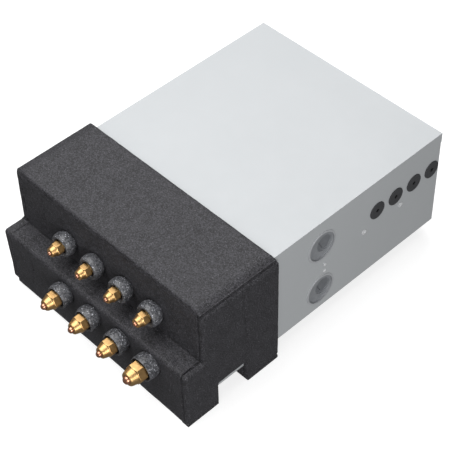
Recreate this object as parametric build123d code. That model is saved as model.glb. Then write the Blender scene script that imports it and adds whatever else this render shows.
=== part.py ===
from build123d import *
from math import sqrt
import os

# Refrigerant branch box: a sheet-steel case whose piping end is clad in closed-cell foam.
# Four liquid flare connections leave the upper foam tier and four gas connections the lower one.
# Millimetres, +Z up, -Y towards the flare connections. While it is built, y = 0 is the front
# face of the lower foam tier; every solid is then moved so that the origin is the bottom centre
# of the whole box.

# ---- driving dimensions --------------------------------------------------------------------
# foam cladding
foam_width = 350.0
foam_height = 192.0
foam_depth = 161.0
ledge_height = 97.0          # top of the lower tier
tier_setback = 31.0          # upper tier's front face, behind the lower one
foam_side = 8.0              # side sheet thickness
foam_top = 6.0               # top sheet thickness
base_sheet = 5.0             # sheet under both feet
sheet_skew = 6.0             # how far the front base sheet's cut edge runs out of square
foot_height = 24.0
notch_front = 54.0           # gap between the two feet, and the cut-out in the side sheets
notch_back = 104.0
notch_height = 41.0
top_edge_radius = 13.0
ledge_edge_radius = 2.5
heel_radius = 8.0

# steel case
sheet = 1.0
case_half = foam_width / 2 - foam_side
case_bottom = foot_height
case_top = foam_height - foam_top
case_front = notch_front
case_rear = 476.0
flange = 16.0
lid_lip = 16.0
screw_ys = (80.0, 210.0, 320.0, 430.0)
lid_screw_xs = (-120.0, 0.0, 120.0)
lid_screw_z = 178.0

# flare connections: pipe, thread and pitch, nut across flats, nut length, hexagon length,
# small end of the collar, copper bonnet's stand-out, foam sleeve radius
quarter = dict(pipe=6.35, thread=11.11, pitch=1.270, flats=17.0, nut=17.0, hexagon=9.5,
               collar=10.4, tip=3.0, sleeve=17.5)
three_eighths = dict(pipe=9.52, thread=15.88, pitch=1.411, flats=22.0, nut=20.0, hexagon=10.5,
                     collar=13.6, tip=5.0, sleeve=17.5)
half_inch = dict(pipe=12.70, thread=19.05, pitch=1.588, flats=26.0, nut=23.0, hexagon=12.5,
                 collar=17.6, tip=5.0, sleeve=18.0)
port_pitch = 55.0
liquid_row_x = 7.0
gas_row_x = 27.5
liquid_row_z = 131.5
gas_row_z = 73.0
sleeve_out = 16.0            # sleeve's stand-out from its foam wall
thread_turns = 7.0           # turns of thread held by a tight flare nut
thread_gap = 0.05
copper_wall = 0.8
nose_relief = 0.9            # step from the thread down to the 45 degree nose
seat_gap = 0.05

# pipework inside the case
header_y = 130.0
header_radius = 9.53
valve_y = 200.0
valve_port_z = 100.0
liquid_header_z = 50.0
liquid_header_radius = 6.35
riser_radius = 3.2           # bore of the risers under the expansion valves
liquid_trunk_x = -100.0
gas_trunk_x = -145.0
liquid_trunk_radius = 4.76
gas_trunk_radius = 7.94
trunk_wall = 1.0
trunk_stub = 36.0            # stand-out of the trunk pipes behind the rear panel
gas_socket = 16.0            # depth of the brazing sockets swaged in the trunk pipes
liquid_socket = 12.0
socket_gap = 0.06

# expansion valves
body_radius = 10.0
can_radius = 8.75
can_wall = 0.5
rotor_radius = 7.3
needle_radius = 1.5
needle_gap = 0.05
needle_lift = 2.6
needle_top = 143.0
coil_size = 36.0

# openings in the side and rear panels
wire_y = 351.3
wire_pitch = 36.2
wire_z = 130.5
wire_pilot = 3.0             # pilot hole in a bush's membrane
grommet_radius = 13.5
grommet_neck = 11.0
bush_neck = 3.5              # trunk pipe holes in the rear panel, over the pipe's radius
plug_y = 246.0
plug_heights = (141.0, 59.0)
plug_radius = 25.0
bracket_y = (327.6, 399.6)
bracket_z = 106.4
bracket_hole = 2.1           # M5 tapping size
rivet_nut_radius = 3.1
rivet_y = 253.0
rivet_heights = (101.6, 89.8)
rivet_radius = 1.5

# control box
box_front = 322.0
box_rear = case_rear - 2 * sheet
box_left = 25.0
box_bottom = 62.0
box_top = 172.0
box_right = case_half - sheet - 3.0
lead_landings = (40.0, 60.0, 80.0, 100.0)
lead_z = 131.0
board_bottom = 75.0
board_top = 76.6

# ---- derived places ------------------------------------------------------------------------
port_offsets = [(i - 1.5) * port_pitch for i in range(4)]
liquid_ports = [(liquid_row_x + d, quarter) for d in port_offsets]
gas_sizes = [three_eighths, three_eighths, three_eighths, half_inch]
gas_ports = [(gas_row_x + d, size) for d, size in zip(port_offsets, gas_sizes)]
liquid_nut_y = tier_setback - sleeve_out
gas_nut_y = -sleeve_out
front_overhang = sleeve_out + half_inch["nut"] + half_inch["tip"]
overall_length = front_overhang + case_rear + trunk_stub
to_origin = Pos(0, front_overhang - overall_length / 2, 0)
wire_ys = [wire_y + i * wire_pitch for i in range(4)]
trunk_holes = ((gas_trunk_x, gas_row_z, gas_trunk_radius),
               (liquid_trunk_x, liquid_header_z, liquid_trunk_radius))


# ---- helpers -------------------------------------------------------------------------------
def block(x0, x1, y0, y1, z0, z1):
    """A box from its lowest to its highest corner."""
    corner = Pos((x0 + x1) / 2, (y0 + y1) / 2, (z0 + z1) / 2)
    return corner * Box(x1 - x0, y1 - y0, z1 - z0)


def rod_y(x, z, radius, y0, y1):
    """A round bar along Y."""
    return Pos(x, (y0 + y1) / 2, z) * Rot(90, 0, 0) * Cylinder(radius, y1 - y0)


def rod_x(y, z, radius, x0, x1):
    """A round bar along X."""
    return Pos((x0 + x1) / 2, y, z) * Rot(0, 90, 0) * Cylinder(radius, x1 - x0)


def rod_z(x, y, radius, z0, z1):
    """A round bar along Z."""
    return Pos(x, y, (z0 + z1) / 2) * Cylinder(radius, z1 - z0)


def turned(points, x, y, z):
    """Turn a profile of (distance towards -Y, radius) points about an axis along Y."""
    outline = make_face(Polyline(*[(r, s) for s, r in points], close=True))
    return Pos(x, y, z) * Rot(180, 0, 0) * revolve(outline, Axis.Y)


def upright(points, x, y):
    """Turn a profile of (height, radius) points about a vertical axis."""
    outline = Plane.XZ * make_face(Polyline(*[(r, z) for z, r in points], close=True))
    return Pos(x, y, 0) * revolve(outline, Axis.Z)


def tube(path_points, bend, radius, wall):
    """A bent tube along straight runs joined by tangent arcs."""
    path = FilletPolyline(*path_points, radius=bend)
    start = Plane(origin=path @ 0, z_dir=path % 0)
    ring = start * (Circle(radius) - Circle(radius - wall))
    return sweep(ring, path=path)


def group(solids):
    """Several separate solids in one node."""
    return Compound(children=list(solids))


# ---- foam cladding -------------------------------------------------------------------------
def cladding():
    """The whole foam end in one piece, before it is divided into sheets and blocks."""
    side = Polyline((0, 0), (foam_depth, 0), (foam_depth, foam_height),
                    (tier_setback, foam_height), (tier_setback, ledge_height),
                    (0, ledge_height), close=True)
    body = extrude(Plane.YZ * make_face(side), foam_width / 2, both=True)
    long_edges = body.edges().filter_by(Axis.Y)
    top_edges = long_edges.filter_by_position(Axis.Z, foam_height - 1, foam_height + 1)
    body = fillet(top_edges, top_edge_radius)
    across = body.edges().filter_by(Axis.X)
    lip = across.filter_by_position(Axis.Z, ledge_height - 1, ledge_height + 1)
    lip = lip.filter_by_position(Axis.Y, -1, 1)
    body = fillet(lip, ledge_edge_radius)
    steel = block(-case_half, case_half, case_front, foam_depth + 1, case_bottom, case_top)
    under = block(-foam_width, foam_width, notch_front, notch_back, -1, case_bottom)
    notch = block(-foam_width, foam_width, notch_front, notch_back, -1, notch_height)
    return body - steel - under - notch


def foam_piece(whole, x0, x1, y0, y1, z0, z1):
    """One sheet or block of the cladding, cut out of the whole."""
    return whole & block(x0, x1, y0, y1, z0, z1)


def sleeve_holes(ports, z, y0, y1):
    """Round holes that the foam sleeves pass through."""
    return [rod_y(x, z, size["sleeve"], y0, y1) for x, size in ports]


def foam_nodes():
    """Every sheet and block of foam, by node name."""
    whole = cladding()
    half = foam_width / 2
    inner = case_half
    deep = foam_depth
    front_sheet = foam_piece(whole, -half, half, 0, notch_front, 0, base_sheet)
    sliver = make_face(Polyline((-half, 0), (half, 0), (-half, sheet_skew), close=True))
    front_sheet -= extrude(sliver, base_sheet)
    rear_sheet = foam_piece(whole, -half, half, notch_back, deep, 0, base_sheet)
    nodes = {
        "top_foam_sheet": foam_piece(whole, -half, half, 0, deep, case_top, foam_height),
        "right_side_foam": foam_piece(whole, inner, half, 0, deep, base_sheet, case_top),
        "left_side_foam": foam_piece(whole, -half, -inner, 0, deep, base_sheet, case_top),
        "upper_front_foam": foam_piece(whole, -inner, inner, tier_setback, case_front,
                                       ledge_height, case_top),
        "lower_front_foam": foam_piece(whole, -inner, inner, 0, case_front,
                                       base_sheet, ledge_height),
        "rear_foot_foam": foam_piece(whole, -inner, inner, notch_back, deep,
                                     base_sheet, case_bottom),
        "base_foam_sheets": group([front_sheet, rear_sheet]),
    }
    for name in ("right_side_foam", "left_side_foam"):
        heel = nodes[name].edges().filter_by(Axis.X).sort_by(Axis.Z)[:6].sort_by(Axis.Y)[-1]
        nodes[name] = fillet(heel, heel_radius)
    for hole in sleeve_holes(liquid_ports, liquid_row_z, 0, case_front + 1):
        nodes["upper_front_foam"] -= hole
    for hole in sleeve_holes(gas_ports, gas_row_z, -1, case_front + 1):
        nodes["lower_front_foam"] -= hole
    return nodes


def sleeve(x, z, y_mouth, size):
    """A soft foam tube around one connection, with a wider mouth for the flare nut."""
    mouth = size["flats"] / sqrt(3) + 0.6
    throat = size["pipe"] / 2 + 3.2
    outer = rod_y(x, z, size["sleeve"], y_mouth, case_front)
    outer = fillet(outer.edges().sort_by(Axis.Y)[0], 3.0)
    outer -= rod_y(x, z, mouth, y_mouth - 1, y_mouth + 10.0)
    return outer - rod_y(x, z, throat, y_mouth, case_front + 1)


# ---- flare connections ---------------------------------------------------------------------
def pipe_bore(size):
    """Inside radius of a connection's pipe."""
    return size["pipe"] / 2 - copper_wall


def nose_radius(size):
    """Widest radius of the union's 45 degree nose."""
    return size["thread"] / 2 - nose_relief


def nose_start(size):
    """Where the nose begins, from the nut's rear face towards its tip."""
    return thread_turns * size["pitch"]


def flare_union(x, y, z, size):
    """Brass half union: brazing socket, hexagon shoulder, thread and 45 degree nose."""
    bore = pipe_bore(size)
    nose = nose_radius(size)
    start = nose_start(size)
    end = start + nose - bore - 0.4
    pipe = size["pipe"] / 2
    thread = size["thread"] / 2
    body = turned([(-9.0, bore), (-9.0, thread), (start - nose_relief, thread),
                   (start - nose_relief, nose), (start, nose), (end, bore + 0.4),
                   (end, bore)], x, y, z)
    socket = turned([(-17.0, pipe), (-17.0, pipe + 1.4), (-9.0, pipe + 1.4), (-9.0, bore),
                     (-10.0, bore), (-10.0, pipe)], x, y, z)
    flats = 2 * (thread + 0.9)
    shoulder = extrude(RegularPolygon(flats / 2, 6, major_radius=False), 5.0)
    shoulder = Pos(x, y + 6.5, z) * Rot(90, 0, 0) * shoulder
    shoulder -= rod_y(x, z, thread, y - 1, y + 8)
    return body + socket + shoulder


def flare_bonnet(x, y, z, size):
    """Copper blanking bonnet: a 45 degree flare that runs out into a closed round end."""
    bore = pipe_bore(size)
    nose = nose_radius(size)
    pipe = size["pipe"] / 2
    slant = copper_wall * sqrt(2)
    seat = nose_start(size) + 2 * seat_gap
    neck = seat + nose - pipe + slant
    end = size["nut"] + size["tip"]
    with BuildSketch() as outline:
        with BuildLine():
            Polyline((nose, seat), (nose, seat + slant), (pipe, neck), (pipe, end - pipe))
            RadiusArc((pipe, end - pipe), (0, end), -pipe)
            Polyline((0, end), (0, end - copper_wall))
            RadiusArc((0, end - copper_wall), (bore, end - pipe), bore)
            Polyline((bore, end - pipe), (bore, seat + nose - bore), (nose, seat))
        make_face()
    return Pos(x, y, z) * Rot(180, 0, 0) * revolve(outline.sketch, Axis.Y)


def flare_nut(x, y, z, size):
    """Brass flare nut: chamfered hexagon, tapering collar, thread bore and flare seat."""
    nose = nose_radius(size)
    pipe = size["pipe"] / 2
    thread = size["thread"] / 2
    length = size["nut"]
    corner = size["flats"] / sqrt(3)
    flat = size["flats"] / 2
    prism = extrude(RegularPolygon(flat, 6, major_radius=False), length)
    prism = Pos(x, y, z) * Rot(90, 0, 0) * prism
    waist = flat - 0.6
    envelope = turned([(0, 0), (0, flat), (0.3 * (corner - flat) + 0.4, corner),
                       (size["hexagon"] - 1.2, corner), (size["hexagon"], waist),
                       (length - 1.2, size["collar"] / 2 + 1.2), (length, size["collar"] / 2),
                       (length, 0)], x, y, z)
    shoulder = nose_start(size) + copper_wall * sqrt(2) + 3 * seat_gap
    hollow = turned([(-1, 0), (-1, thread + thread_gap), (shoulder, thread + thread_gap),
                     (shoulder, nose + seat_gap), (shoulder + nose - pipe, pipe + seat_gap),
                     (length + 1, pipe + seat_gap), (length + 1, 0)], x, y, z)
    return (prism & envelope) - hollow


# ---- steel case ----------------------------------------------------------------------------
def side_panel(side):
    """A folded side panel; side is +1 for the right one and -1 for the left one."""
    rear = case_rear - sheet
    web = block(case_half - sheet, case_half, case_front, rear, case_bottom, case_top - sheet)
    foot = block(case_half - flange, case_half, case_front, rear,
                 case_bottom, case_bottom + sheet)
    head = block(case_half - flange, case_half, case_front, rear,
                 case_top - 2 * sheet, case_top - sheet)
    panel = web + foot + head
    for y in bracket_y:
        panel -= rod_x(y, bracket_z, rivet_nut_radius + 0.05, case_half - 2, case_half + 1)
    for y in screw_ys:
        panel -= rod_z(case_half - 8, y, 2.1, case_bottom - 1, case_bottom + 2)
    if side > 0:
        for y in wire_ys:
            panel -= rod_x(y, wire_z, grommet_neck, case_half - 2, case_half + 1)
        for z in plug_heights:
            panel -= rod_x(plug_y, z, plug_radius - 1.5, case_half - 2, case_half + 1)
        for z in rivet_heights:
            panel -= rod_x(rivet_y, z, rivet_radius + 0.05, case_half - 2, case_half + 1)
        return panel
    return panel.mirror(Plane.YZ)


def base_pan():
    """Bottom plate with two stiffening beads."""
    half = case_half - sheet - 0.2
    z = case_bottom + sheet
    pan = block(-half, half, case_front + sheet, case_rear - 2 * sheet, z, z + sheet)
    for x in (-60.0, 60.0):
        pan += block(x - 6, x + 6, 170, 450, z + sheet, z + 2.5)
        pan -= block(x - 5, x + 5, 171, 449, z - 1, z + 1.5)
    for side in (-1, 1):
        for y in screw_ys:
            pan -= rod_z(side * (case_half - 8), y, 1.9, z - 1, z + 2)
    return pan


def top_lid():
    """Flat lid with a lip that folds down over the rear panel."""
    lid = block(-case_half, case_half, case_front, case_rear, case_top - sheet, case_top)
    lid += block(-case_half, case_half, case_rear - sheet, case_rear,
                 case_top - lid_lip, case_top)
    bend = lid.edges().filter_by(Axis.X).sort_by(Axis.Z)[-2:].sort_by(Axis.Y)[-1]
    lid = fillet(bend, 0.9)
    for x in lid_screw_xs:
        lid -= rod_y(x, lid_screw_z, 2.2, case_rear - 2, case_rear + 1)
    return lid


def rear_panel():
    """Rear plate with two trunk pipe holes and folded edges, notched beside the last bush."""
    half = case_half - sheet - 0.2
    z0 = case_bottom + 2 * sheet
    z1 = case_top - 2 * sheet
    y1 = case_rear - sheet
    panel = block(-half, half, y1 - sheet, y1, z0, z1)
    fold = y1 - 14
    panel += block(half - sheet, half, fold, y1, z0, z1)
    panel += block(-half, sheet - half, fold, y1, z0, z1)
    panel -= block(half - sheet - 1, half + 1, fold - 1, y1 - sheet, wire_z - 15, wire_z + 15)
    for x, z, radius in trunk_holes:
        panel -= rod_y(x, z, radius + bush_neck, y1 - 2, y1 + 1)
    for x in lid_screw_xs:
        panel -= rod_y(x, lid_screw_z, 2.0, y1 - 2, y1 + 1)
    return panel


def front_panel():
    """Front plate inside the foam, with one clearance hole for each pipe."""
    half = case_half - sheet - 0.2
    panel = block(-half, half, case_front, case_front + sheet,
                  case_bottom + 2 * sheet, case_top - 2 * sheet)
    for ports, z in ((liquid_ports, liquid_row_z), (gas_ports, gas_row_z)):
        for x, size in ports:
            panel -= rod_y(x, z, size["pipe"] / 2 + 1.5, case_front - 1, case_front + 2)
    return panel


def screw(length):
    """Pan-head screw along -Z with its head above z = 0 and a cross recess."""
    head = Pos(0, 0, 1.1) * Cylinder(3.9, 2.2)
    head = fillet(head.edges().sort_by(Axis.Z)[-1], 1.2)
    head -= Pos(0, 0, 2.0) * Box(4.2, 0.9, 1.8)
    head -= Pos(0, 0, 2.0) * Box(0.9, 4.2, 1.8)
    return head + Pos(0, 0, -length / 2) * Cylinder(1.85, length)


def case_screws():
    """Three screws through the lid's rear lip, and four up through each side panel's flange."""
    screws = [Pos(x, case_rear, lid_screw_z) * Rot(-90, 0, 0) * screw(6.0)
              for x in lid_screw_xs]
    screws += [Pos(side * (case_half - 8), y, case_bottom) * Rot(180, 0, 0) * screw(6.0)
               for side in (-1, 1) for y in screw_ys]
    return group(screws)


def bracket_nut(side, y):
    """Rivet nut set in a side panel, for one of the hanging brackets' screws."""
    nut = rod_x(y, bracket_z, 3.9, case_half, case_half + 0.8)
    nut += rod_x(y, bracket_z, rivet_nut_radius, case_half - 9.0, case_half)
    nut += rod_x(y, bracket_z, 3.9, case_half - sheet - 1.6, case_half - sheet)
    nut -= rod_x(y, bracket_z, bracket_hole, case_half - 10, case_half + 1)
    return nut if side > 0 else nut.mirror(Plane.YZ)


def side_rivet(z):
    """Blind rivet between the two plugs, with its pulled-through centre."""
    rivet = rod_x(rivet_y, z, 2.3, case_half, case_half + 0.9)
    rivet = fillet(rivet.edges().sort_by(Axis.X)[-1], 0.5)
    rivet += rod_x(rivet_y, z, rivet_radius, case_half - 4.0, case_half)
    return rivet - rod_x(rivet_y, z, 0.8, case_half - 2.5, case_half + 1)


def wire_grommet(y):
    """Rubber wire bush snapped into the right side panel, closed by a pierced membrane."""
    outer = rod_x(y, wire_z, grommet_radius, case_half, case_half + 1.5)
    outer = fillet(outer.edges().sort_by(Axis.X)[-1], 0.7)
    neck = rod_x(y, wire_z, grommet_neck, case_half - sheet, case_half)
    inner = rod_x(y, wire_z, grommet_radius, case_half - sheet - 2.5, case_half - sheet)
    bush = outer + neck + inner
    bush -= rod_x(y, wire_z, grommet_neck - 1.5, case_half - 5, case_half)
    return bush - rod_x(y, wire_z, wire_pilot, case_half - 1, case_half + 2)


def side_plug(z):
    """Dished rubber plug in a side outlet, with an off-centre inner dish and a pull slit."""
    face = case_half - 2.2
    lip = rod_x(plug_y, z, plug_radius, case_half, case_half + 1.0)
    lip = fillet(lip.edges().sort_by(Axis.X)[-1], 0.6)
    cup = rod_x(plug_y, z, plug_radius - 1.5, case_half - 5.5, case_half)
    plug = lip + cup
    plug -= rod_x(plug_y, z, plug_radius - 3.0, face, case_half + 2)
    plug -= rod_x(plug_y + 6.5, z, 13.0, face - 1.4, case_half + 2)
    slit = Pos(case_half - 3.2, plug_y, z) * Rot(27, 0, 0) * Box(4.0, 1.2, 19.0)
    return plug - slit


def trunk_bush(x, z, radius):
    """Rubber bush round a trunk pipe, in the rear panel."""
    y1 = case_rear - sheet
    bush = rod_y(x, z, radius + 6.0, y1, y1 + 2.5)
    bush += rod_y(x, z, radius + bush_neck - 0.1, y1 - sheet, y1)
    bush += rod_y(x, z, radius + 6.0, y1 - 3.0, y1 - sheet)
    return bush - rod_y(x, z, radius, y1 - 5, y1 + 5)


# ---- refrigerant pipework ------------------------------------------------------------------
def liquid_port_pipe(x):
    """From a liquid union, back into the case and down to the valve's side port."""
    radius = quarter["pipe"] / 2
    start = liquid_nut_y + 10.0
    drop = 150.0
    points = [(x, start, liquid_row_z), (x, drop, liquid_row_z), (x, drop, valve_port_z),
              (x, valve_y - body_radius - 2.0, valve_port_z)]
    return tube(points, 13.0, radius, copper_wall)


def gas_port_pipe(x, size):
    """From a gas union straight back to a saddle on the gas header."""
    radius = size["pipe"] / 2
    start = gas_nut_y + 10.0
    pipe = rod_y(x, gas_row_z, radius, start, header_y)
    pipe -= rod_y(x, gas_row_z, radius - copper_wall, start - 1, header_y + 1)
    return pipe - rod_x(header_y, gas_row_z, header_radius, x - 30, x + 30)


def gas_header():
    """Gas collecting pipe along X, bent back at its left end and reduced to the trunk size."""
    right = gas_ports[-1][0] + 20.0
    path = [(right, header_y, gas_row_z), (gas_trunk_x, header_y, gas_row_z),
            (gas_trunk_x, 196.0, gas_row_z)]
    header = tube(path, 30.0, header_radius, 1.0)
    header += rod_x(header_y, gas_row_z, header_radius, right, right + 2.0)
    for x, size in gas_ports:
        bore = size["pipe"] / 2 - copper_wall
        header -= rod_y(x, gas_row_z, bore, header_y - header_radius - 2, header_y)
    reducer = turned([(0, header_radius - 1.0), (0, header_radius), (-14, gas_trunk_radius),
                      (-14, gas_trunk_radius - 1.0)], gas_trunk_x, 196.0, gas_row_z)
    return header + reducer


def trunk_pipe(x, z, radius, y0, socket):
    """Straight trunk pipe, swaged behind the case into a brazing socket for its own size."""
    end = case_rear + trunk_stub
    wide = radius + socket_gap
    swage = end - socket - 3.0
    return turned([(-y0, radius - trunk_wall), (-y0, radius), (-swage, radius),
                   (socket - end, wide + trunk_wall), (-end, wide + trunk_wall), (-end, wide),
                   (socket - end, wide), (socket - end, radius - trunk_wall)], x, 0, z)


def liquid_header():
    """Liquid distributing pipe along X, with a riser under each expansion valve."""
    right = liquid_ports[-1][0] + 14.0
    path = [(right, valve_y, liquid_header_z), (liquid_trunk_x, valve_y, liquid_header_z),
            (liquid_trunk_x, 252.0, liquid_header_z)]
    header = tube(path, 20.0, liquid_header_radius, copper_wall)
    header += rod_x(valve_y, liquid_header_z, liquid_header_radius, right, right + 2.0)
    for x, _ in liquid_ports:
        base = liquid_header_z + liquid_header_radius - 1
        header += rod_z(x, valve_y, riser_radius + copper_wall, base, 82.0)
        header -= rod_z(x, valve_y, riser_radius, liquid_header_z, 83.0)
    return header


def strainer():
    """Liquid line strainer: a spun copper shell between two necks."""
    x, z = liquid_trunk_x, liquid_header_z
    wide, neck, small = 10.0, liquid_header_radius, liquid_trunk_radius
    return turned([(-252, neck - 1.0), (-252, neck), (-262, wide), (-304, wide),
                   (-316, small), (-320, small), (-320, small - 1.0), (-314, small - 1.0),
                   (-303, wide - 1.2), (-263, wide - 1.2), (-255, neck - 1.0)], x, 0, z)


# ---- expansion valves ----------------------------------------------------------------------
def valve_body(x):
    """Brass valve body with side and bottom ports, closed by the rotor's thin can."""
    inner = can_radius - can_wall
    guide = needle_radius + needle_gap
    top = needle_top + needle_lift + 1.4
    body = upright([(82, riser_radius), (82, 6), (85, 6), (85, body_radius),
                    (113, body_radius), (115, can_radius), (top, can_radius),
                    (top + 3.5, 5.0), (top + 4.5, 0), (top + 4, 0), (top + 3, 4.6),
                    (top - 0.4, inner), (117, inner), (115, guide + 1.5), (115, guide),
                    (104, guide), (104, 5), (92.6, 5), (91.4, 1.3), (88, 1.3),
                    (88, riser_radius)], x, valve_y)
    reach = valve_y - body_radius
    body += rod_y(x, valve_port_z, 4.8, reach - 6, reach + 1)
    pipe = quarter["pipe"] / 2
    body -= rod_y(x, valve_port_z, pipe, reach - 7, reach - 2)
    return body - rod_y(x, valve_port_z, pipe - copper_wall, reach - 3, valve_y - 1)


def valve_coil(x):
    """Moulded stator coil slipped over the can, with its lead outlet at the back."""
    half = coil_size / 2
    coil = block(x - half, x + half, valve_y - half, valve_y + half, 119.0, 143.0)
    coil = fillet(coil.edges().filter_by(Axis.Z), 11.0)
    coil = fillet(coil.edges().group_by(Axis.Z)[-1], 2.0)
    coil += block(x - 8, x + 8, valve_y + half - 3, valve_y + half + 5, 122.0, 140.0)
    return coil - rod_z(x, valve_y, can_radius + 0.1, 110, 150)


def valve_rotor(x):
    """Ring magnet rotor that turns inside the can."""
    ring = rod_z(x, valve_y, rotor_radius, 120.0, 139.0)
    ring -= rod_z(x, valve_y, rotor_radius - 2.2, 134.0, 140.0)
    return ring - rod_z(x, valve_y, needle_radius + needle_gap, 119, 140)


def valve_needle(x):
    """Needle and its stem, raised from the seat by the rotor's screw."""
    return upright([(89.2, 0), (89.2, 0.6), (92.4, needle_radius),
                    (needle_top - 0.5, needle_radius), (needle_top, needle_radius - 0.5),
                    (needle_top, 0)], x, valve_y)


def coil_lead(x, landing):
    """Sheathed lead from a coil to the control box."""
    start = valve_y + coil_size / 2 + 5
    points = [(x, start, lead_z), (x, start + 28, lead_z), (landing, start + 66, lead_z),
              (landing, box_front + sheet + 6, lead_z)]
    path = FilletPolyline(*points, radius=18.0)
    return sweep(Plane(origin=path @ 0, z_dir=path % 0) * Circle(2.5), path=path)


# ---- control box ---------------------------------------------------------------------------
def control_box():
    """Folded tray, open to the side panel, that carries the circuit board and terminals."""
    tray = block(box_left, box_right, box_front, box_rear, box_bottom, box_bottom + sheet)
    tray += block(box_left, box_left + sheet, box_front, box_rear, box_bottom, box_top)
    tray += block(box_left, box_right, box_front, box_front + sheet, box_bottom, box_top)
    tray += block(box_left, box_right, box_rear - sheet, box_rear, box_bottom, box_top)
    for x in lead_landings:
        tray -= rod_y(x, lead_z, 3.0, box_front - 1, box_front + 2)
    for x in (36.0, 101.0):
        for y in (336.0, 458.0):
            tray += rod_z(x, y, 3.0, box_bottom + sheet, board_bottom)
    return tray


def control_box_lid():
    """Flat cover of the control box."""
    lid = block(box_left, box_right, box_front, box_rear, box_top, box_top + sheet)
    return lid + block(box_left - sheet, box_left, box_front, box_rear,
                       box_top - 8, box_top + sheet)


def circuit_board():
    """Printed board with relays, capacitors, a transformer and valve connectors."""
    top = board_top
    board = block(32, 105, 332, 462, board_bottom, top)
    board += block(38, 66, 420, 456, top, top + 30)
    for i in range(4):
        board += block(72, 88, 340 + 18 * i, 354 + 18 * i, top, top + 16)
        board += block(38 + 14 * i, 49 + 14 * i, 334, 341, top, top + 11)
    for x, y in ((50, 405), (64, 405), (78, 430), (92, 430)):
        board += rod_z(x, y, 5.0, top, top + 22)
    board += block(42, 62, 352, 372, top, top + 2.5)
    return board + block(42, 60, 380, 390, top, top + 3)


def terminal_block(y):
    """Three-way screw terminal block inside one wire bush."""
    z = box_bottom + sheet
    half = 12.5
    body = block(112, 140, y - half, y + half, z, z + 20)
    body -= block(111, 120, y - half - 1, y + half + 1, z + 11, z + 21)
    for i in (-1, 0, 1):
        pole = y + 8.2 * i
        body -= rod_z(130, pole, 3.2, z + 8, z + 21)
        body += rod_z(130, pole, 2.7, z + 8, z + 13)
    return body


# ---- every node ----------------------------------------------------------------------------
def all_nodes():
    """Node name to solid, in the building frame."""
    nodes = foam_nodes()
    nodes["liquid_sleeves"] = group(sleeve(x, liquid_row_z, liquid_nut_y, s)
                                    for x, s in liquid_ports)
    nodes["gas_sleeves"] = group(sleeve(x, gas_row_z, gas_nut_y, s) for x, s in gas_ports)
    unions = [flare_union(x, liquid_nut_y, liquid_row_z, s) for x, s in liquid_ports]
    unions += [flare_union(x, gas_nut_y, gas_row_z, s) for x, s in gas_ports]
    nodes["flare_unions"] = group(unions)
    for i, (x, size) in enumerate(liquid_ports, 1):
        nodes[f"liquid_nut_{i}"] = flare_nut(x, liquid_nut_y, liquid_row_z, size)
        nodes[f"liquid_bonnet_{i}"] = flare_bonnet(x, liquid_nut_y, liquid_row_z, size)
        nodes[f"valve_rotor_{i}"] = valve_rotor(x)
        nodes[f"valve_needle_{i}"] = valve_needle(x)
    for i, (x, size) in enumerate(gas_ports, 1):
        nodes[f"gas_nut_{i}"] = flare_nut(x, gas_nut_y, gas_row_z, size)
        nodes[f"gas_bonnet_{i}"] = flare_bonnet(x, gas_nut_y, gas_row_z, size)
    nodes["base_pan"] = base_pan()
    nodes["right_side_panel"] = side_panel(1)
    nodes["left_side_panel"] = side_panel(-1)
    nodes["rear_panel"] = rear_panel()
    nodes["front_panel"] = front_panel()
    nodes["top_lid"] = top_lid()
    nodes["case_screws"] = case_screws()
    nodes["bracket_nuts"] = group(bracket_nut(side, y) for side in (1, -1) for y in bracket_y)
    nodes["side_rivets"] = group(side_rivet(z) for z in rivet_heights)
    nodes["wire_grommets"] = group(wire_grommet(y) for y in wire_ys)
    nodes["side_plugs"] = group(side_plug(z) for z in plug_heights)
    nodes["trunk_bushes"] = group(trunk_bush(*hole) for hole in trunk_holes)
    nodes["liquid_port_pipes"] = group(liquid_port_pipe(x) for x, _ in liquid_ports)
    nodes["gas_port_pipes"] = group(gas_port_pipe(x, s) for x, s in gas_ports)
    nodes["gas_header"] = gas_header()
    nodes["gas_trunk_pipe"] = trunk_pipe(gas_trunk_x, gas_row_z, gas_trunk_radius,
                                         210.0, gas_socket)
    nodes["liquid_header"] = liquid_header()
    nodes["strainer"] = strainer()
    nodes["liquid_trunk_pipe"] = trunk_pipe(liquid_trunk_x, liquid_header_z,
                                            liquid_trunk_radius, 320.0, liquid_socket)
    nodes["valve_bodies"] = group(valve_body(x) for x, _ in liquid_ports)
    nodes["valve_coils"] = group(valve_coil(x) for x, _ in liquid_ports)
    nodes["coil_leads"] = group(coil_lead(x, landing)
                                for (x, _), landing in zip(liquid_ports, lead_landings))
    nodes["control_box"] = control_box()
    nodes["control_box_lid"] = control_box_lid()
    nodes["circuit_board"] = circuit_board()
    nodes["terminal_blocks"] = group(terminal_block(y) for y in wire_ys)
    return nodes


os.makedirs("parts", exist_ok=True)
for name, solid in all_nodes().items():
    export_step(to_origin * solid, f"parts/{name}.step")
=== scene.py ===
from math import cos, pi, radians, sin, sqrt

import bmesh
import bpy
import numpy as np
from mathutils import Matrix, Vector, noise


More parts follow.
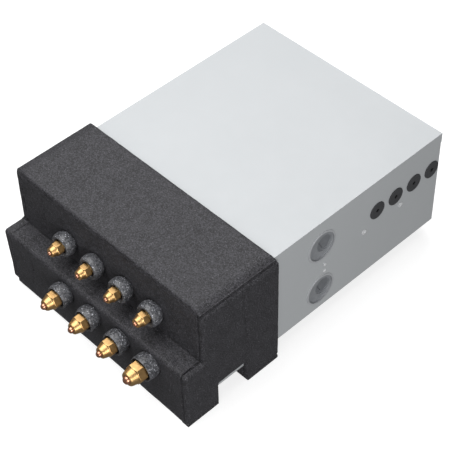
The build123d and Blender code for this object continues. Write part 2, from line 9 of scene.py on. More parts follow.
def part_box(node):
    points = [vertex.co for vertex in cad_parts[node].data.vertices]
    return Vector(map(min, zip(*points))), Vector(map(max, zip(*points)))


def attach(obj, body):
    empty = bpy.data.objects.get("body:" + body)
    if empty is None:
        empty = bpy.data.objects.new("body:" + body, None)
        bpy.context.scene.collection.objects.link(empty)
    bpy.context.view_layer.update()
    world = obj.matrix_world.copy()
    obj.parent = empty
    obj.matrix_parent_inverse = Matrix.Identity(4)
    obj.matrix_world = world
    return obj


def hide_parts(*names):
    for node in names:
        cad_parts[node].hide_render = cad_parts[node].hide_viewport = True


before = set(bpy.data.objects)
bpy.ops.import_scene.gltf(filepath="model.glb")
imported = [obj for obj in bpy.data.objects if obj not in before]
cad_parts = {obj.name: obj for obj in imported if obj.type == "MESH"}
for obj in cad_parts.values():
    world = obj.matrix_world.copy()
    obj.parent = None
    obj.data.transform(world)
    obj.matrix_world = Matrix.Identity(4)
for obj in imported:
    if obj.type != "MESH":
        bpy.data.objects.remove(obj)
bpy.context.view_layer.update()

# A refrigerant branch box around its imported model: foam cladding, flare fittings, steel case.
# Metres, in the model's own frame: +Z up, -Y towards the fittings.
MM = 0.001

# ---- places taken from the model -----------------------------------------------------------
PORTS = [(kind, i) for kind in ("liquid", "gas") for i in range(1, 5)]


def middle(node):
    """A node's box centre."""
    low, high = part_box(node)
    return (Vector(low) + Vector(high)) / 2


def span(node, axis):
    """A node's lowest and highest coordinate along one axis."""
    low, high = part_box(node)
    return low[axis], high[axis]


# ---- mesh helpers --------------------------------------------------------------------------
def new_piece(name, vertices, faces, material, body="root", sharp=None):
    """A named mesh object with its material, slot and body; sharp is an edge angle in degrees."""
    mesh = bpy.data.meshes.new(name)
    mesh.from_pydata([tuple(v) for v in vertices], [], faces)
    return dress(mesh, name, material, body, sharp)


def dress(mesh, name, material, body="root", sharp=None):
    """Put a finished mesh into the scene as a piece of the object."""
    mesh.materials.clear()
    mesh.materials.append(material)
    mesh.shade_smooth()
    if sharp is not None:
        mesh.set_sharp_from_angle(angle=radians(sharp))
    piece = bpy.data.objects.new(name, mesh)
    bpy.context.scene.collection.objects.link(piece)
    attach(piece, body)
    return piece


def plain_mesh(node):
    """A node's mesh with its seams welded and its flat faces made whole."""
    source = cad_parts[node].data
    mesh = bpy.data.meshes.new(node + "_plain")
    points = [v.co.copy() for v in source.vertices]
    mesh.from_pydata(points, [], [tuple(p.vertices) for p in source.polygons])
    work = bmesh.new()
    work.from_mesh(mesh)
    bmesh.ops.remove_doubles(work, verts=work.verts, dist=1e-6)
    bmesh.ops.dissolve_limit(work, angle_limit=radians(0.6), verts=work.verts,
                             edges=work.edges)
    bmesh.ops.recalc_face_normals(work, faces=work.faces)
    work.to_mesh(mesh)
    work.free()
    return mesh


def applied(mesh, *modifiers):
    """The mesh after modifiers, each given as (type, settings)."""
    holder = bpy.data.objects.new("holder", mesh)
    bpy.context.scene.collection.objects.link(holder)
    for kind, settings in modifiers:
        modifier = holder.modifiers.new(kind, kind)
        for key, value in settings.items():
            setattr(modifier, key, value)
    graph = bpy.context.evaluated_depsgraph_get()
    result = bpy.data.meshes.new_from_object(holder.evaluated_get(graph))
    bpy.data.objects.remove(holder)
    return result


def bevelled(node, name, width, material, body="root", segments=2, flat_over=None):
    """A machined or folded part: the node's own shape with its edges broken.

    Faces larger than flat_over, in square metres, are sheet metal's flats and shade as such.
    """
    settings = dict(width=width, segments=segments, limit_method="ANGLE",
                    angle_limit=radians(32), harden_normals=False)
    mesh = applied(plain_mesh(node), ("BEVEL", settings))
    piece = dress(mesh, name, material, body, sharp=38)
    if flat_over:
        for face in piece.data.polygons:
            face.use_smooth = face.area < flat_over
    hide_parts(node)
    return piece


def ring_surface(stations, radius, around, centre):
    """A closed ring solid round an axis that runs along -Y from centre.

    stations are the (distance, radius) points of its section, in order round it, and
    radius(angle, distance, r) shapes each of them.
    """
    vertices = []
    for distance, r in stations:
        for j in range(around):
            angle = 2 * pi * j / around
            rr = radius(angle, distance, r)
            vertices.append(centre + Vector((rr * cos(angle), -distance, rr * sin(angle))))
    faces = []
    for i in range(len(stations)):
        here = i * around
        following = (i + 1) % len(stations) * around
        for j in range(around):
            k = (j + 1) % around
            faces.append((here + j, here + k, following + k, following + j))
    return vertices, faces


def as_drawn(angle, distance, r):
    """A ring's radius without any shaping."""
    return r


def rounded_profile(corners, steps):
    """A profile whose corners, given as (s, r, radius), are turned into arcs of so many steps."""
    points = []
    count = len(corners)
    for i, (s, r, bend) in enumerate(corners):
        here = Vector((s, r))
        before = Vector(corners[i - 1][:2])
        after = Vector(corners[(i + 1) % count][:2])
        if bend <= 0:
            points.append((s, r))
            continue
        a = here + (before - here).normalized() * min(bend, (before - here).length / 2.2)
        b = here + (after - here).normalized() * min(bend, (after - here).length / 2.2)
        for n in range(steps + 1):
            t = n / steps
            p = a * (1 - t) ** 2 + here * 2 * t * (1 - t) + b * t ** 2
            points.append((p.x, p.y))
    return points


def dense(profile, longest):
    """The closed profile with its long runs divided."""
    points = []
    count = len(profile)
    for i, (s, r) in enumerate(profile):
        points.append((s, r))
        s2, r2 = profile[(i + 1) % count]
        parts = int(sqrt((s2 - s) ** 2 + (r2 - r) ** 2) / longest)
        for n in range(1, parts):
            t = n / parts
            points.append((s + (s2 - s) * t, r + (r2 - r) * t))
    return points


# ---- materials -----------------------------------------------------------------------------
class Nodes:
    """A short way to write a material's node tree."""

    def __init__(self, name):
        self.material = bpy.data.materials.new(name)
        self.material.use_nodes = True
        self.tree = self.material.node_tree
        self.shader = self.tree.nodes["Principled BSDF"]
        self.place = self.add("ShaderNodeTexCoord").outputs["Object"]

    def add(self, kind, **settings):
        """A new node of the tree."""
        node = self.tree.nodes.new(kind)
        for key, value in settings.items():
            setattr(node, key, value)
        return node

    def link(self, output, target):
        """Connect an output to a socket."""
        self.tree.links.new(output, target)

    def fixed(self, **values):
        """Numbers set on the shader itself."""
        for key, value in values.items():
            self.shader.inputs[key.replace("_", " ")].default_value = value

    def stretched(self, x, y, z):
        """Object coordinates scaled by x, y, z."""
        mapping = self.add("ShaderNodeMapping")
        mapping.inputs["Scale"].default_value = (x, y, z)
        self.link(self.place, mapping.inputs["Vector"])
        return mapping.outputs["Vector"]

    def noise(self, scale, detail, rough=0.5, vector=None):
        """A noise texture's grey output."""
        node = self.add("ShaderNodeTexNoise")
        node.inputs["Scale"].default_value = scale
        node.inputs["Detail"].default_value = detail
        node.inputs["Roughness"].default_value = rough
        self.link(vector or self.place, node.inputs["Vector"])
        return node.outputs["Fac"]

    def cells(self, scale):
        """The distance to the nearest of scattered cell centres."""
        node = self.add("ShaderNodeTexVoronoi")
        node.inputs["Scale"].default_value = scale
        self.link(self.place, node.inputs["Vector"])
        return node.outputs["Distance"]

    def ramp(self, value, *stops):
        """A colour or grey ramp; each stop is (position, colour or grey)."""
        node = self.add("ShaderNodeValToRGB")
        elements = node.color_ramp.elements
        while len(elements) < len(stops):
            elements.new(0.5)
        for element, (position, colour) in zip(elements, stops):
            element.position = position
            grey = not hasattr(colour, "__len__")
            element.color = (colour, colour, colour, 1) if grey else (*colour, 1)
        self.link(value, node.inputs["Fac"])
        return node.outputs["Color"]

    def mix(self, factor, a, b, blend="MIX"):
        """Mix two colours; each may be an output or a plain colour."""
        node = self.add("ShaderNodeMix", data_type="RGBA", blend_type=blend)
        for socket, value in ((node.inputs[0], factor), (node.inputs[6], a),
                              (node.inputs[7], b)):
            if isinstance(value, bpy.types.NodeSocket):
                self.link(value, socket)
            else:
                socket.default_value = value if socket.type == "VALUE" else (*value, 1)
        return node.outputs[2]

    def inside(self, centres, radius):
        """1 nearer to any of the centres than the radius, and 0 outside, with a soft edge."""
        soft = 0.5 * MM
        nearest = None
        for centre in centres:
            node = self.add("ShaderNodeVectorMath", operation="DISTANCE")
            self.link(self.place, node.inputs[0])
            node.inputs[1].default_value = centre
            if nearest is None:
                nearest = node.outputs["Value"]
                continue
            least = self.add("ShaderNodeMath", operation="MINIMUM")
            self.link(nearest, least.inputs[0])
            self.link(node.outputs["Value"], least.inputs[1])
            nearest = least.outputs[0]
        edge = self.add("ShaderNodeMapRange", interpolation_type="SMOOTHSTEP")
        self.link(nearest, edge.inputs["Value"])
        edge.inputs["From Min"].default_value = radius - soft
        edge.inputs["From Max"].default_value = radius + soft
        edge.inputs["To Min"].default_value = 1.0
        edge.inputs["To Max"].default_value = 0.0
        return edge.outputs["Result"]

    def sum(self, a, b, share):
        """a + b * share."""
        node = self.add("ShaderNodeMath", operation="MULTIPLY_ADD")
        self.link(b, node.inputs[0])
        node.inputs[1].default_value = share
        self.link(a, node.inputs[2])
        return node.outputs[0]

    def finish(self, colour, roughness, height=None, depth=0.0001, strength=1.0):
        """Connect the colour and roughness, and the bump if there is one."""
        self.link(colour, self.shader.inputs["Base Color"])
        self.link(roughness, self.shader.inputs["Roughness"])
        if height is not None:
            bump = self.add("ShaderNodeBump")
            bump.inputs["Distance"].default_value = depth
            bump.inputs["Strength"].default_value = strength
            self.link(height, bump.inputs["Height"])
            self.link(bump.outputs["Normal"], self.shader.inputs["Normal"])
        return self.material


def foam_material(name, dark, light, gloss, grain, painted_glint_gain, shine_level):
    """Closed-cell foam: a fine grain of cells, faint mottling, and sparse specks of painted
    highlight that stand in for glints of light on the cells.
    """
    n = Nodes(name)
    cells = n.noise(grain, 2, 0.7)
    mottle = n.noise(grain * 0.12, 3, 0.5)
    blend = n.sum(cells, mottle, 0.15)
    colour = n.mix(n.ramp(blend, (0.47, 0.0), (0.69, 1.0)), dark, light)
    # painted highlight: sparse specks, gathered in patches, are brightened far past the foam's
    # own colour like glints of light
    painted_glint_specks = n.ramp(n.cells(grain * 0.9), (0.10, 1.0), (0.30, 0.0))
    painted_glint_patches = n.ramp(n.noise(grain * 0.5, 1), (0.46, 0.0), (0.60, 1.0))
    shine = n.mix(1.0, painted_glint_specks, painted_glint_patches, "MULTIPLY")
    colour = n.mix(shine, colour, [painted_glint_gain * c for c in light])
    roughness = n.ramp(cells, (0.3, gloss), (0.7, gloss + 0.2))
    height = n.sum(cells, n.cells(grain * 0.7), 0.6)
    n.fixed(Specular_IOR_Level=shine_level)
    return n.finish(colour, roughness, height, depth=0.0005, strength=0.5)


def painted_steel():
    """Pale grey powder paint with a faint orange peel."""
    n = Nodes("pale_grey_paint")
    cloud = n.noise(9, 3, 0.5)
    colour = n.ramp(cloud, (0.3, (0.418, 0.434, 0.446)), (0.7, (0.430, 0.446, 0.458)))
    roughness = n.ramp(n.noise(60, 3), (0.3, 0.40), (0.7, 0.48))
    height = n.sum(n.noise(900, 2), n.noise(240, 2), 0.8)
    return n.finish(colour, roughness, height, depth=0.00006, strength=0.25)


def bare_metal(name, base, tint, rough, rings=True, marks=0.35, metallic=1.0):
    """Turned or drawn metal: tool marks round the Y axis, tarnish and small scratches."""
    n = Nodes(name)
    tarnish = n.noise(140, 4, 0.6)
    colour = n.mix(n.ramp(tarnish, (0.35, 0.0), (0.75, 1.0)), base, tint)
    height = n.noise(700, 2, 0.5, n.stretched(0.12, 6, 0.12) if rings else None)
    roughness = n.ramp(n.noise(420, 3), (0.3, rough), (0.75, rough + 0.16))
    n.fixed(Metallic=metallic)
    return n.finish(colour, roughness, height, depth=0.00005, strength=marks)


def moulded(name, base, light, rough, grain=900):
    """Moulded rubber or plastic with a fine matt texture."""
    n = Nodes(name)
    colour = n.mix(n.ramp(n.noise(120, 3), (0.3, 0.0), (0.7, 1.0)), base, light)
    roughness = n.ramp(n.noise(300, 2), (0.3, rough), (0.7, rough + 0.15))
    return n.finish(colour, roughness, n.noise(grain, 2), depth=0.0001, strength=0.3)


def plug_rubber():
    """Grey rubber of the side plugs: a paler rim that is painted highlight, and a darker dish
    round the pull slit that is painted shade.
    """
    n = Nodes("grey_rubber")
    flange, rim_inside, dish_edge = 25 * MM, 22.2 * MM, 13.0 * MM
    outer_face, y = span("side_plugs", 0)[1], middle("side_plugs").y
    bottom, top = span("side_plugs", 2)
    faces = [Vector((outer_face, y, z)) for z in (bottom + flange, top - flange)]
    dishes = [face + Vector((0, 6.5 * MM, 0)) for face in faces]
    cloud = n.ramp(n.noise(120, 3), (0.3, 0.0), (0.7, 1.0))
    web = n.mix(cloud, (0.205, 0.214, 0.228), (0.245, 0.255, 0.270))
    # painted highlight: the rim round the plug face is paler than the rubber, as where light
    # catches it
    painted_highlight_rim = n.mix(cloud, (0.360, 0.370, 0.385), (0.400, 0.410, 0.425))
    # painted shade: the dish round the pull slit is darker, as where its hollow lies in shade
    painted_shade_dish = n.mix(cloud, (0.130, 0.138, 0.150), (0.165, 0.173, 0.186))
    colour = n.mix(n.inside(faces, rim_inside), painted_highlight_rim, web)
    colour = n.mix(n.inside(dishes, dish_edge), colour, painted_shade_dish)
    roughness = n.ramp(n.noise(300, 2), (0.3, 0.50), (0.7, 0.65))
    return n.finish(colour, roughness, n.noise(900, 2), depth=0.0001, strength=0.3)


def galvanised():
    """Zinc-coated sheet with its crystalline spangle."""
    n = Nodes("galvanised_sheet")
    spangle = n.cells(90)
    colour = n.ramp(spangle, (0.1, (0.52, 0.54, 0.56)), (0.8, (0.66, 0.68, 0.70)))
    roughness = n.ramp(n.noise(80, 2), (0.3, 0.32), (0.7, 0.50))
    n.fixed(Metallic=1.0)
    return n.finish(colour, roughness, spangle, depth=0.00003, strength=0.3)


def board_material():
    """Green solder mask with faint copper tracks under it."""
    n = Nodes("solder_mask")
    grid = n.add("ShaderNodeTexBrick")
    grid.inputs["Scale"].default_value = 160
    n.link(n.place, grid.inputs["Vector"])
    tracks = n.ramp(grid.outputs["Fac"], (0.2, (0.010, 0.115, 0.045)),
                    (0.8, (0.030, 0.190, 0.075)))
    roughness = n.ramp(n.noise(200, 2), (0.3, 0.28), (0.7, 0.42))
    return n.finish(tracks, roughness, grid.outputs["Fac"], depth=0.00005, strength=0.3)


def floor_material():
    """Pale matt studio floor."""
    n = Nodes("studio_floor")
    colour = n.ramp(n.noise(3, 2), (0.3, (0.40, 0.40, 0.40)), (0.7, (0.42, 0.42, 0.42)))
    roughness = n.ramp(n.noise(8, 2), (0.3, 0.85), (0.7, 0.95))
    n.fixed(Specular_IOR_Level=0.1, Emission_Color=(1, 1, 1, 1), Emission_Strength=0.72)
    return n.finish(colour, roughness)


# The sixth number of each foam sets how bright its painted highlight specks are.
FOAM = foam_material("charcoal_foam", (0.009, 0.0088, 0.0102), (0.050, 0.049, 0.0555), 0.58,
                     560, 2.8, 0.38)
SOFT_FOAM = foam_material("sleeve_foam", (0.020, 0.021, 0.024), (0.125, 0.127, 0.138), 0.28,
                          520, 7.0, 0.55)
STEEL = painted_steel()
BRASS = bare_metal("turned_brass", (0.59, 0.375, 0.16), (0.50, 0.30, 0.125), 0.30, marks=0.05)
CAST_BRASS = bare_metal("forged_brass", (0.74, 0.52, 0.23), (0.60, 0.40, 0.16), 0.38,
                        rings=False)
COPPER = bare_metal("drawn_copper", (0.60, 0.31, 0.20), (0.46, 0.22, 0.14), 0.22, marks=0.1)
ZINC = bare_metal("zinc_plate", (0.93, 0.94, 0.95), (0.84, 0.85, 0.86), 0.42, rings=False,
                  metallic=0.55)
NEEDLE = bare_metal("ground_steel", (0.68, 0.68, 0.70), (0.60, 0.60, 0.62), 0.18)
MAGNET = moulded("sintered_magnet", (0.05, 0.05, 0.055), (0.09, 0.09, 0.095), 0.45)
RUBBER = moulded("black_rubber", (0.034, 0.035, 0.038), (0.044, 0.045, 0.049), 0.60)
GREY_RUBBER = plug_rubber()
PLASTIC = moulded("black_nylon", (0.015, 0.015, 0.017), (0.030, 0.030, 0.033), 0.38, 500)
GALVANISED = galvanised()
BOARD = board_material()


# ---- foam cladding -------------------------------------------------------------------------
def foam_ripple(points, amount, scale, seed):
    """Soft unevenness of a foam skin, as a length for each point."""
    shift = Vector((seed * 3.1, seed * 1.7, seed * 2.3))
    coarse = [noise.noise(Vector(p) * scale + shift) for p in points]
    fine = [noise.noise(Vector(p) * scale * 3.3 + shift) for p in points]
    return amount * (np.array(coarse) + 0.45 * np.array(fine))


def segment_distance(points, a, b):
    """Distance of each point from the segment a-b."""
    a, b = np.array(a), np.array(b)
    along = b - a
    t = np.clip(((points - a) @ along) / (along @ along), 0, 1)
    return np.linalg.norm(points - (a + t[:, None] * along), axis=1)


def edge_rounded(points, faces, radius):
    """Pull points in where two or three faces meet, so that their edge has this radius.

    faces are (axis, side, position), with side +1 or -1 for the way the face looks.
    """
    reach = [np.maximum(side * (points[:, axis] - at) + radius, 0) for axis, side, at in faces]
    length = np.sqrt(sum(r * r for r in reach))
    excess = 1 - np.minimum(1, radius / np.maximum(length, 1e-9))
    for (axis, side, _), r in zip(faces, reach):
        points[:, axis] -= side * r * excess
    return points


def with_rings(mesh, rings):
    """The mesh with more closed shells in it."""
    work = bmesh.new()
    work.from_mesh(mesh)
    for vertices, faces in rings:
        made = [work.verts.new(v) for v in vertices]
        for face in faces:
            work.faces.new([made[k] for k in face])
    work.to_mesh(mesh)
    work.free()
    return mesh


HALF_WIDTH = 175 * MM
LEAN = 9.5 * MM
LEFT_FACE = -HALF_WIDTH - LEAN
VOXEL = 1.4 * MM
UNEVENNESS = 0.22 * MM
SLEEVE_SEAT = 19.5 * MM


def left_shape(points):
    """The left side leans out towards its top, and its upper front corner is well rounded."""
    x, z = points[:, 0], points[:, 2]
    away = LEAN * np.clip((z - 40 * MM) / (130 * MM), 0, 1) ** 0.8
    points[:, 0] -= away * np.clip((-167 * MM - x) / (8 * MM), 0, 1)
    upper, top = span("top_foam_sheet", 1)[0], span("top_foam_sheet", 2)[1]
    faces = [(0, -1, LEFT_FACE), (1, -1, upper), (2, 1, top)]
    rounded = edge_rounded(points.copy(), faces, 13 * MM)
    share = np.clip((LEFT_FACE + 36 * MM - points[:, 0]) / (20 * MM), 0, 1)
    share[points[:, 2] < span("lower_front_foam", 2)[1] + 1 * MM] = 0
    return points + (rounded - points) * share[:, None]


def vertex_array(mesh, key):
    """One vector of every vertex, such as its place, as rows of an array."""
    values = np.empty(len(mesh.vertices) * 3)
    mesh.vertices.foreach_get(key, values)
    return values.reshape(-1, 3)


def foam_block(node, name, seed, grooves=(), edges=(), collars=(), shape=None):
    """A foam sheet or block: soft edges, an uneven skin and pressed-in grooves.

    grooves are (start, end, width, depth), in mm. edges are (faces, radius in mm, region), where
    region (axis, side, limit) keeps the rounding to the points below the limit for side 1, or
    above it for side -1. collars are closed rings joined to the block, and shape bends it.
    """
    mesh = with_rings(plain_mesh(node), collars)
    mesh = applied(mesh, ("REMESH", dict(mode="VOXEL", voxel_size=VOXEL)),
                   ("SMOOTH", dict(factor=0.5, iterations=3)))
    points = vertex_array(mesh, "co")
    if shape:
        points = shape(points)
    for faces, radius, (axis, side, limit) in edges:
        near = side * points[:, axis] < side * limit
        points[near] = edge_rounded(points[near], faces, radius * MM)
    mesh.vertices.foreach_set("co", points.ravel())
    mesh.update()
    push = foam_ripple(points, UNEVENNESS, 55, seed)
    for start, end, width, depth in grooves:
        away = segment_distance(points, np.array(start) * MM, np.array(end) * MM)
        push -= depth * MM * np.exp(-(away / (width * MM)) ** 2)
    points = points + vertex_array(mesh, "normal") * push[:, None]
    mesh.vertices.foreach_set("co", points.ravel())
    mesh.update()
    piece = dress(mesh, name, FOAM)
    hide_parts(node)
    return piece


def sleeve_seat(kind, i):
    """A ring of foam that closes a front block's hole in, round a sleeve's neck."""
    node = "upper_front_foam" if kind == "liquid" else "lower_front_foam"
    centre = middle(f"{kind}_nut_{i}")
    front = Vector((centre.x, span(node, 1)[0], centre.z))
    neck = sleeve_sizes(kind, i)[0]
    hole = neck - 0.4 * MM
    stations = [(s * MM, r) for s, r in ((-0.3, hole), (-0.3, SLEEVE_SEAT), (-9, SLEEVE_SEAT),
                                         (-9, hole))]
    return ring_surface(stations, as_drawn, 48, front)


def foam_cladding():
    """Every sheet and block of the foam end."""
    x, y, z = 0, 1, 2
    upper, back = span("top_foam_sheet", y)
    top = span("top_foam_sheet", z)[1]
    front = span("lower_front_foam", y)[0]
    ledge = span("lower_front_foam", z)[1]
    inner = span("upper_front_foam", x)[1]

    everywhere = (y, 1, 1)
    on_ledge = (y, 1, upper - 2 * MM)
    above_ledge = (z, -1, ledge + 1 * MM)
    right_top = ([(x, 1, HALF_WIDTH), (z, 1, top)], 19, everywhere)
    left_top = ([(x, -1, LEFT_FACE), (z, 1, top)], 19, everywhere)
    right_ledge = ([(y, -1, front), (z, 1, ledge), (x, 1, HALF_WIDTH)], 6, on_ledge)
    left_ledge = ([(y, -1, front), (z, 1, ledge), (x, -1, LEFT_FACE)], 6, on_ledge)
    right_corner = ([(y, -1, upper), (x, 1, HALF_WIDTH)], 5, above_ledge)

    top_seam = ((171.6, -203, 183.9), (171.6, -73, 183.9), 1.9, 1.9)
    side_fold = ((175, -133, 178), (175, -129, 78), 1.7, 1.3)
    upper_slit = ((167, -203, 184), (168, -203, 98), 1.5, 3.0)
    upper_crease = ((-125, -203, 172), (-124, -203, 114), 1.6, 0.8)
    lower_creases = [((-127, -234, 92), (-124, -234, 60), 1.6, 0.8),
                     ((-124, -234, 60), (-129, -234, 29), 1.6, 0.8),
                     ((142, -218, 97), (149, -232, 95.5), 1.8, 2.4),
                     ((149, -234, 91), (146, -234, 48), 1.6, 1.2)]
    lower_slits = [((166.5, -203, 97), (166.5, -232, 95.5), 1.6, 2.6),
                   ((167, -234, 92), (167, -234, 11), 1.2, 3.0)]

    foam_block("top_foam_sheet", "foam_top_sheet", 1, shape=left_shape, grooves=[top_seam],
               edges=[([(y, 1, back - 2.5 * MM), (z, 1, top)], 5, everywhere),
                      ([(y, -1, upper), (z, 1, top)], 4, everywhere),
                      ([(y, 1, back), (x, -1, LEFT_FACE)], 12, everywhere),
                      left_top, right_top, right_corner])
    foam_block("right_side_foam", "foam_right_side", 2, grooves=[side_fold, top_seam],
               edges=[([(y, -1, front), (x, -1, inner)], 3, on_ledge),
                      ([(y, -1, upper), (x, -1, inner)], 3, above_ledge),
                      right_top, right_ledge, right_corner])
    foam_block("left_side_foam", "foam_left_side", 3, shape=left_shape,
               edges=[left_top, left_ledge,
                      ([(y, -1, front), (z, -1, 5 * MM)], 9, on_ledge)])
    foam_block("upper_front_foam", "foam_upper_front", 4, shape=left_shape,
               grooves=[upper_slit, upper_crease],
               edges=[([(y, -1, upper), (x, 1, inner)], 3, everywhere),
                      ([(y, -1, upper), (z, 1, top - 6 * MM)], 2.5, everywhere)],
               collars=[sleeve_seat("liquid", i) for i in range(1, 5)])
    foam_block("lower_front_foam", "foam_lower_front", 5, grooves=lower_creases + lower_slits,
               edges=[([(y, -1, front), (z, 1, ledge)], 6, on_ledge),
                      ([(y, -1, front), (x, 1, inner)], 3, on_ledge)],
               collars=[sleeve_seat("gas", i) for i in range(1, 5)])
    foam_block("rear_foot_foam", "foam_rear_foot", 6)
    foam_block("base_foam_sheets", "foam_base_sheets", 7)


def sleeve_sizes(kind, i):
    """A sleeve's neck, belly and bore radii, and its stand-out from the wall."""
    low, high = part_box(f"{kind}_nut_{i}")
    node = "upper_front_foam" if kind == "liquid" else "lower_front_foam"
    gap, wall, least_neck = 0.6 * MM, 1.0 * MM, 13.0 * MM
    bore = (high[0] - low[0]) / 2 + gap
    neck = max(least_neck, bore + wall)
    belly = 18.0 * MM if (kind, i) == ("gas", 4) else 17.2 * MM
    return neck, belly, bore, span(node, 1)[0] - high[1]


def soft_sleeve(kind, i):
    """A soft foam sleeve round one connection: a fat lumpy ring with a rolled mouth."""
    neck, belly, bore, out = sleeve_sizes(kind, i)
    nut_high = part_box(f"{kind}_nut_{i}")[1]
    centre = middle(f"{kind}_nut_{i}")
    back = span(f"{kind}_sleeves", 1)[1] - nut_high[1]
    pocket = 10 * MM
    throat = bore - 4.0 * MM
    waist = 0.44 * out
    half = out - waist
    belly_line = [(-waist - half * cos(t), neck + (belly - neck) * sin(t))
                  for t in np.linspace(0.06, pi * 0.86, 16)]
    lip = belly_line[-1][1]
    mouth = [(-0.3 * MM, lip - 1.0 * MM), (0, (lip + bore) / 2), (-0.5 * MM, bore + 0.2 * MM)]
    profile = ([(-back, neck)] + belly_line + mouth
               + [(-pocket, bore), (-pocket, throat), (-back, throat)])
    stations = dense(profile, 1.3 * MM)
    seed = Vector((3.7 * i, 11.0 if kind == "gas" else 5.0, 0.4))

    def lumps(angle, distance, r):
        at = Vector((cos(angle), sin(angle), distance * 60)) * 1.6
        swell = noise.noise(at + seed) * 0.5 * MM
        fine = noise.noise(at * 5 + seed) * 0.2 * MM
        return r + (swell + fine) * (1.0 if r > bore + 0.6 * MM else 0.3)

    origin = Vector((centre.x, nut_high[1], centre.z))
    vertices, faces = ring_surface(stations, lumps, 72, origin)
    piece = new_piece(f"{kind}_sleeve_{i}", vertices, faces, SOFT_FOAM)
    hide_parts(f"{kind}_sleeves")
    return piece


# ---- flare connections ---------------------------------------------------------------------
FITTINGS = {
    "quarter": dict(pipe=6.35, thread=11.11, pitch=1.270, flats=17.0, nut=17.0,
                    hexagon=9.5, collar=10.4, tip=3.0),
    "three_eighths": dict(pipe=9.52, thread=15.88, pitch=1.411, flats=22.0, nut=20.0,
                          hexagon=10.5, collar=13.6, tip=5.0),
    "half": dict(pipe=12.70, thread=19.05, pitch=1.588, flats=26.0, nut=23.0,
                 hexagon=12.5, collar=17.6, tip=5.0),
}
WALL = 0.8
THREAD_TURNS = 7.0


def fitting(kind, i):
    """The dimensions of a connection, in millimetres, and the centre of its nut's rear face."""
    size = FITTINGS["quarter" if kind == "liquid" else "half" if i == 4 else "three_eighths"]
    centre = middle(f"{kind}_nut_{i}")
    rear = span(f"{kind}_nut_{i}", 1)[1]
    return size, Vector((centre.x, rear, centre.z))


def hexagon_radius(angle, flat):
    """Distance from the axis to a hexagon with flats above and below."""
    step = pi / 3
    return flat / cos(((angle) % step) - step / 2)


def soft_min(a, b, k):
    """The smaller of two lengths, blended over about k where they meet."""
    h = max(0.0, min(1.0, 0.5 + 0.5 * (b - a) / k))
    return b * (1 - h) + a * h - k * h * (1 - h)


def flare_nut(kind, i):
    """Turned brass flare nut: chamfered hexagon, tapering collar, thread bore and seat."""
    size, origin = fitting(kind, i)
    flat = size["flats"] / 2
    corner = size["flats"] / sqrt(3)
    nut = size["nut"]
    thread = size["thread"] / 2
    pipe = size["pipe"] / 2
    nose = thread - 0.9
    shoulder = THREAD_TURNS * size["pitch"] + 0.1 + WALL * sqrt(2) + 0.05
    corners = [(0, thread + 0.5, 0.2), (0, flat - 0.2, 0.3), (0.9, corner + 0.1, 0.3),
               (size["hexagon"] - 1.3, corner + 0.1, 0.4), (size["hexagon"], flat - 0.6, 0.5),
               (nut - 1.2, size["collar"] / 2 + 1.2, 0.8), (nut, size["collar"] / 2, 0.4),
               (nut, pipe + 0.6, 0.2), (nut - 0.5, pipe + 0.05, 0),
               (shoulder + nose - pipe, pipe + 0.05, 0), (shoulder, nose + 0.05, 0),
               (shoulder, thread + 0.05, 0), (0.6, thread + 0.05, 0)]
    profile = dense(rounded_profile([(s * MM, r * MM, b * MM) for s, r, b in corners], 4),
                    1.1 * MM)

    def cut_hexagon(angle, distance, r):
        if r < (thread + 0.6) * MM:
            return r
        return soft_min(r, hexagon_radius(angle, flat * MM), 0.5 * MM)

    vertices, faces = ring_surface(profile, cut_hexagon, 144, origin)
    piece = new_piece(f"{kind}_flare_nut_{i}", vertices, faces, BRASS,
                      f"{kind}_nut_{i}", sharp=50)
    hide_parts(f"{kind}_nut_{i}")
    return piece


def flare_bonnet(kind, i):
    """Copper blanking bonnet: a flare, a short shank and a spun round end."""
    size, origin = fitting(kind, i)
    pipe = size["pipe"] / 2
    bore = pipe - WALL
    nose = size["thread"] / 2 - 0.9
    seat = THREAD_TURNS * size["pitch"] + 0.1
    slant = WALL * sqrt(2)
    end = size["nut"] + size["tip"]
    outer = [(seat, nose), (seat + slant, nose), (seat + nose - pipe + slant, pipe),
             (end - pipe, pipe)]
    dome = [(end - pipe + pipe * sin(t), pipe * cos(t))
            for t in np.linspace(0.08, pi / 2 - 0.06, 12)]
    inside = [(end - pipe + bore * sin(t), bore * cos(t))
              for t in np.linspace(pi / 2 - 0.08, 0, 8)]
    profile = outer + dome + inside + [(seat + nose - bore, bore)]
    stations = dense([(s * MM, r * MM) for s, r in profile], 1.2 * MM)
    vertices, faces = ring_surface(stations, as_drawn, 64, origin)
    piece = new_piece(f"{kind}_blanking_bonnet_{i}", vertices, faces, COPPER,
                      f"{kind}_bonnet_{i}", sharp=50)
    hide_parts(f"{kind}_bonnet_{i}")
    return piece


def connections():
    """The eight connections with their foam sleeves."""
    for kind, i in PORTS:
        soft_sleeve(kind, i)
        flare_nut(kind, i)
        flare_bonnet(kind, i)


# ---- case and inner parts ------------------------------------------------------------------
def case():
    """The steel case with its screws, bushes and plugs."""
    sheet_flat = 6e-5
    for node in ("top_lid", "right_side_panel", "left_side_panel", "rear_panel",
                 "front_panel", "base_pan"):
        bevelled(node, "painted_" + node, 0.35 * MM, STEEL, segments=3,
                 flat_over=sheet_flat)
    for node in ("case_screws", "bracket_nuts", "side_rivets"):
        bevelled(node, "plated_" + node, 0.15 * MM, ZINC)
    bevelled("wire_grommets", "wire_bushes", 0.4 * MM, RUBBER, segments=3)
    bevelled("side_plugs", "side_outlet_plugs", 0.4 * MM, GREY_RUBBER,
             segments=3)
    bevelled("trunk_bushes", "trunk_pipe_bushes", 0.4 * MM, RUBBER,
             segments=3)


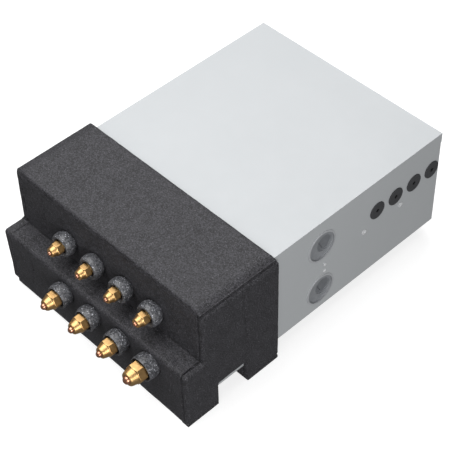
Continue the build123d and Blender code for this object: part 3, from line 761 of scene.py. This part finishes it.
def inner_parts():
    """Pipework, valves and electrical parts inside the case."""
    for node in ("liquid_port_pipes", "gas_port_pipes", "gas_header", "gas_trunk_pipe",
                 "liquid_header", "strainer", "liquid_trunk_pipe"):
        bevelled(node, "copper_" + node, 0.15 * MM, COPPER)
    for node in ("flare_unions", "valve_bodies"):
        bevelled(node, "brass_" + node, 0.2 * MM, CAST_BRASS)
    for node in ("valve_coils", "coil_leads", "terminal_blocks"):
        bevelled(node, "moulded_" + node, 0.4 * MM, PLASTIC)
    for node in ("control_box", "control_box_lid"):
        bevelled(node, "zinc_" + node, 0.3 * MM, GALVANISED)
    bevelled("circuit_board", "printed_board", 0.2 * MM, BOARD)
    for i in range(1, 5):
        bevelled(f"valve_rotor_{i}", f"magnet_rotor_{i}", 0.3 * MM, MAGNET,
                 f"valve_rotor_{i}")
        bevelled(f"valve_needle_{i}", f"ground_needle_{i}", 0.1 * MM, NEEDLE,
                 f"valve_needle_{i}")


# ---- floor, lights and camera --------------------------------------------------------------
def stage():
    """A pale floor under the feet, which throws no light back on the object."""
    half = 6.0
    mesh = bpy.data.meshes.new("floor")
    mesh.from_pydata([(-half, -half, 0), (half, -half, 0), (half, half, 0), (-half, half, 0)],
                     [], [(0, 1, 2, 3)])
    mesh.materials.append(floor_material())
    floor = bpy.data.objects.new("floor", mesh)
    floor.visible_diffuse = False
    floor.visible_glossy = False
    bpy.context.scene.collection.objects.link(floor)


def softbox(name, width, height, power, location, target):
    """A rectangular area light that faces its target."""
    data = bpy.data.lights.new(name, "AREA")
    data.shape = "RECTANGLE"
    data.size = width
    data.size_y = height
    data.energy = power
    light = bpy.data.objects.new(name, data)
    light.location = location
    aim = Vector(target) - Vector(location)
    light.rotation_euler = aim.to_track_quat("-Z", "Y").to_euler()
    bpy.context.scene.collection.objects.link(light)


def lighting():
    """Soft studio light, brightest from above and behind the left shoulder of the box."""
    world = bpy.data.worlds.new("studio")
    world.use_nodes = True
    world.node_tree.nodes["Background"].inputs["Color"].default_value = (1, 1, 1, 1)
    world.node_tree.nodes["Background"].inputs["Strength"].default_value = 0.22
    bpy.context.scene.world = world
    softbox("overhead", 2.4, 2.2, 63, (-0.5, -0.55, 2.3), (0, 0, 0))
    softbox("back_left", 1.4, 1.0, 17, (-0.85, 0.85, 1.75), (0, 0, 0.1))
    softbox("right_fill", 1.4, 1.0, 31, (1.9, -1.1, 0.8), (0, 0, 0.1))
    bpy.context.scene.view_settings.view_transform = "Standard"


def camera():
    """A long lens from the front right, looking down."""
    heading, elevation, roll = radians(47.18), radians(46.22), radians(-1.57)
    aim, distance = Vector((0.0215, -0.0196, 0.096)), 1.869
    out = Vector((sin(heading) * cos(elevation), -cos(heading) * cos(elevation),
                  sin(elevation)))
    data = bpy.data.cameras.new("camera")
    data.lens = 112.23
    data.sensor_width = 36.0
    view = bpy.data.objects.new("camera", data)
    view.location = aim + out * distance
    turn = out.to_track_quat("Z", "Y").to_matrix() @ Matrix.Rotation(roll, 3, "Z")
    view.rotation_euler = turn.to_euler()
    bpy.context.scene.collection.objects.link(view)
    bpy.context.scene.camera = view


camera()
foam_cladding()
connections()
case()
inner_parts()
stage()
lighting()
